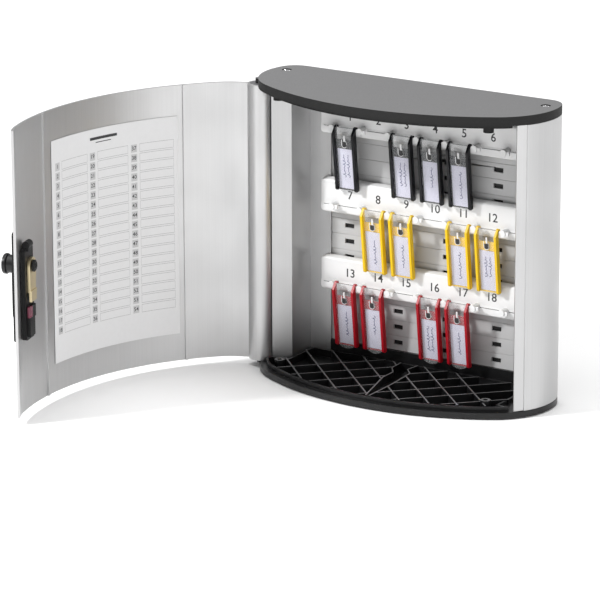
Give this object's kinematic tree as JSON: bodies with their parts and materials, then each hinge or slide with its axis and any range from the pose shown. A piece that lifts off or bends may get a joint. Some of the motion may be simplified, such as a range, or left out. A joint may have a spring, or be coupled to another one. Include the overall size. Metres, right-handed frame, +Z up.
{
  "type": "key cabinet",
  "caption": "Wall-mounted key cabinet with a D-shaped plan, a curved metal door on a corner hinge column, numbered hook strips and hanging key tags.",
  "frame": {"origin": "centre of the rear face, which lies flat on the wall, half way up the cabinet", "axes": "+Z up, +Y towards the wall, +X to the right of someone facing the cabinet; the door stands open as in the picture"},
  "size_m": [0.4139, 0.3226, 0.28],
  "materials": {
    "black_plastic": "fine satin texture",
    "grey_plastic": "finely textured anthracite grey",
    "screw_steel": "bright zinc plated",
    "anodised": "silver anodised, fine drawn lines",
    "panel": "light grey satin",
    "rear": "plain black",
    "pin_steel": "plain steel",
    "white_plastic": "white, slightly glossy",
    "door_anodised": "silver anodised, fine drawn lines",
    "bush_plastic": "grey nylon",
    "paper": null,
    "lock_black": "satin black",
    "knob_black": "satin black",
    "brass": "drawn brass",
    "screw_black": "blackened",
    "red_clear": "dark red, glossy",
    "tag_black": "satin black",
    "tag_yellow": "satin yellow",
    "tag_red": "satin red",
    "tag_clear": "clear, glossy",
    "label_paper": null
  },
  "bodies": {
    "cabinet": {"bottom_cover": "black_plastic", "top_cover": "grey_plastic", "cover_screw_left": "screw_steel", "cover_screw_right": "screw_steel", "left_profile": "anodised", "right_profile": "anodised", "back_panel": "panel", "rear_sheet": "rear", "hinge_pin_bottom": "pin_steel", "hinge_pin_top": "pin_steel", "hook_strip_1": "white_plastic", "hook_strip_2": "white_plastic", "hook_strip_3": "white_plastic"},
    "door": {"door_profile": "door_anodised", "hinge_bush_bottom": "bush_plastic", "hinge_bush_top": "bush_plastic", "index_sheet": "paper", "lock_plate": "lock_black", "lock_body": "lock_black", "lock_insert": "red_clear"},
    "lock_knob": {"lock_knob": "knob_black", "lever_screw": "screw_black"},
    "latch": {"latch_lever": "brass"},
    "tag_01": {"tag_01_frame": "tag_black", "tag_01_window": "tag_clear", "tag_01_label": "label_paper"},
    "tag_03": {"tag_03_frame": "tag_black", "tag_03_window": "tag_clear", "tag_03_label": "label_paper"},
    "tag_04": {"tag_04_frame": "tag_black", "tag_04_window": "tag_clear", "tag_04_label": "label_paper"},
    "tag_05": {"tag_05_frame": "tag_black", "tag_05_window": "tag_clear", "tag_05_label": "label_paper"},
    "tag_08": {"tag_08_frame": "tag_yellow", "tag_08_window": "tag_clear", "tag_08_label": "label_paper"},
    "tag_09": {"tag_09_frame": "tag_yellow", "tag_09_window": "tag_clear", "tag_09_label": "label_paper"},
    "tag_11": {"tag_11_frame": "tag_yellow", "tag_11_window": "tag_clear", "tag_11_label": "label_paper"},
    "tag_12": {"tag_12_frame": "tag_yellow", "tag_12_window": "tag_clear", "tag_12_label": "label_paper"},
    "tag_13": {"tag_13_frame": "tag_red", "tag_13_window": "tag_clear", "tag_13_label": "label_paper"},
    "tag_14": {"tag_14_frame": "tag_red", "tag_14_window": "tag_clear", "tag_14_label": "label_paper"},
    "tag_16": {"tag_16_frame": "tag_red", "tag_16_window": "tag_clear", "tag_16_label": "label_paper"},
    "tag_17": {"tag_17_frame": "tag_red", "tag_17_window": "tag_clear", "tag_17_label": "label_paper"}
  },
  "joints": [
    {"name": "door_hinge", "type": "hinge", "parent": "cabinet", "child": "door", "pos_m": [-0.149, -0.0509, 0], "axis": [0, 0, 1], "range_deg": [-45, 102.9]},
    {"name": "knob_turn", "type": "hinge", "parent": "door", "child": "lock_knob", "pos_m": [-0.24502, -0.29763, 0.0018], "axis": [-0.9636, -0.2672, 0], "range_deg": [0, 90]},
    {"name": "latch_swing", "type": "hinge", "parent": "door", "child": "latch", "pos_m": [-0.24502, -0.29763, 0.0018], "axis": [-0.9636, -0.2672, 0], "range_deg": [0, 90]},
    {"name": "tag_01_swing", "type": "hinge", "parent": "cabinet", "child": "tag_01", "pos_m": [-0.074, -0.0206, 0.091], "axis": [-1, 0, 0], "range_deg": [-0.4, 30]},
    {"name": "tag_03_swing", "type": "hinge", "parent": "cabinet", "child": "tag_03", "pos_m": [-0.01316, -0.0206, 0.091], "axis": [-1, 0, 0], "range_deg": [-0.4, 30]},
    {"name": "tag_04_swing", "type": "hinge", "parent": "cabinet", "child": "tag_04", "pos_m": [0.01726, -0.0206, 0.091], "axis": [-1, 0, 0], "range_deg": [-0.4, 30]},
    {"name": "tag_05_swing", "type": "hinge", "parent": "cabinet", "child": "tag_05", "pos_m": [0.04768, -0.0206, 0.091], "axis": [-1, 0, 0], "range_deg": [-0.4, 30]},
    {"name": "tag_08_swing", "type": "hinge", "parent": "cabinet", "child": "tag_08", "pos_m": [-0.04358, -0.0206, 0.0156], "axis": [-1, 0, 0], "range_deg": [-0.4, 30]},
    {"name": "tag_09_swing", "type": "hinge", "parent": "cabinet", "child": "tag_09", "pos_m": [-0.01316, -0.0206, 0.0156], "axis": [-1, 0, 0], "range_deg": [-0.4, 30]},
    {"name": "tag_11_swing", "type": "hinge", "parent": "cabinet", "child": "tag_11", "pos_m": [0.04768, -0.0206, 0.0156], "axis": [-1, 0, 0], "range_deg": [-0.4, 30]},
    {"name": "tag_12_swing", "type": "hinge", "parent": "cabinet", "child": "tag_12", "pos_m": [0.0781, -0.0206, 0.0156], "axis": [-1, 0, 0], "range_deg": [-0.4, 30]},
    {"name": "tag_13_swing", "type": "hinge", "parent": "cabinet", "child": "tag_13", "pos_m": [-0.074, -0.0206, -0.0598], "axis": [-1, 0, 0], "range_deg": [-0.4, 30]},
    {"name": "tag_14_swing", "type": "hinge", "parent": "cabinet", "child": "tag_14", "pos_m": [-0.04358, -0.0206, -0.0598], "axis": [-1, 0, 0], "range_deg": [-0.4, 30]},
    {"name": "tag_16_swing", "type": "hinge", "parent": "cabinet", "child": "tag_16", "pos_m": [0.01726, -0.0206, -0.0598], "axis": [-1, 0, 0], "range_deg": [-0.4, 30]},
    {"name": "tag_17_swing", "type": "hinge", "parent": "cabinet", "child": "tag_17", "pos_m": [0.04768, -0.0206, -0.0598], "axis": [-1, 0, 0], "range_deg": [-0.4, 30]}
  ],
  "couplings": [
    {"joint": "latch_swing", "follows": "knob_turn", "ratio": 1}
  ]
}
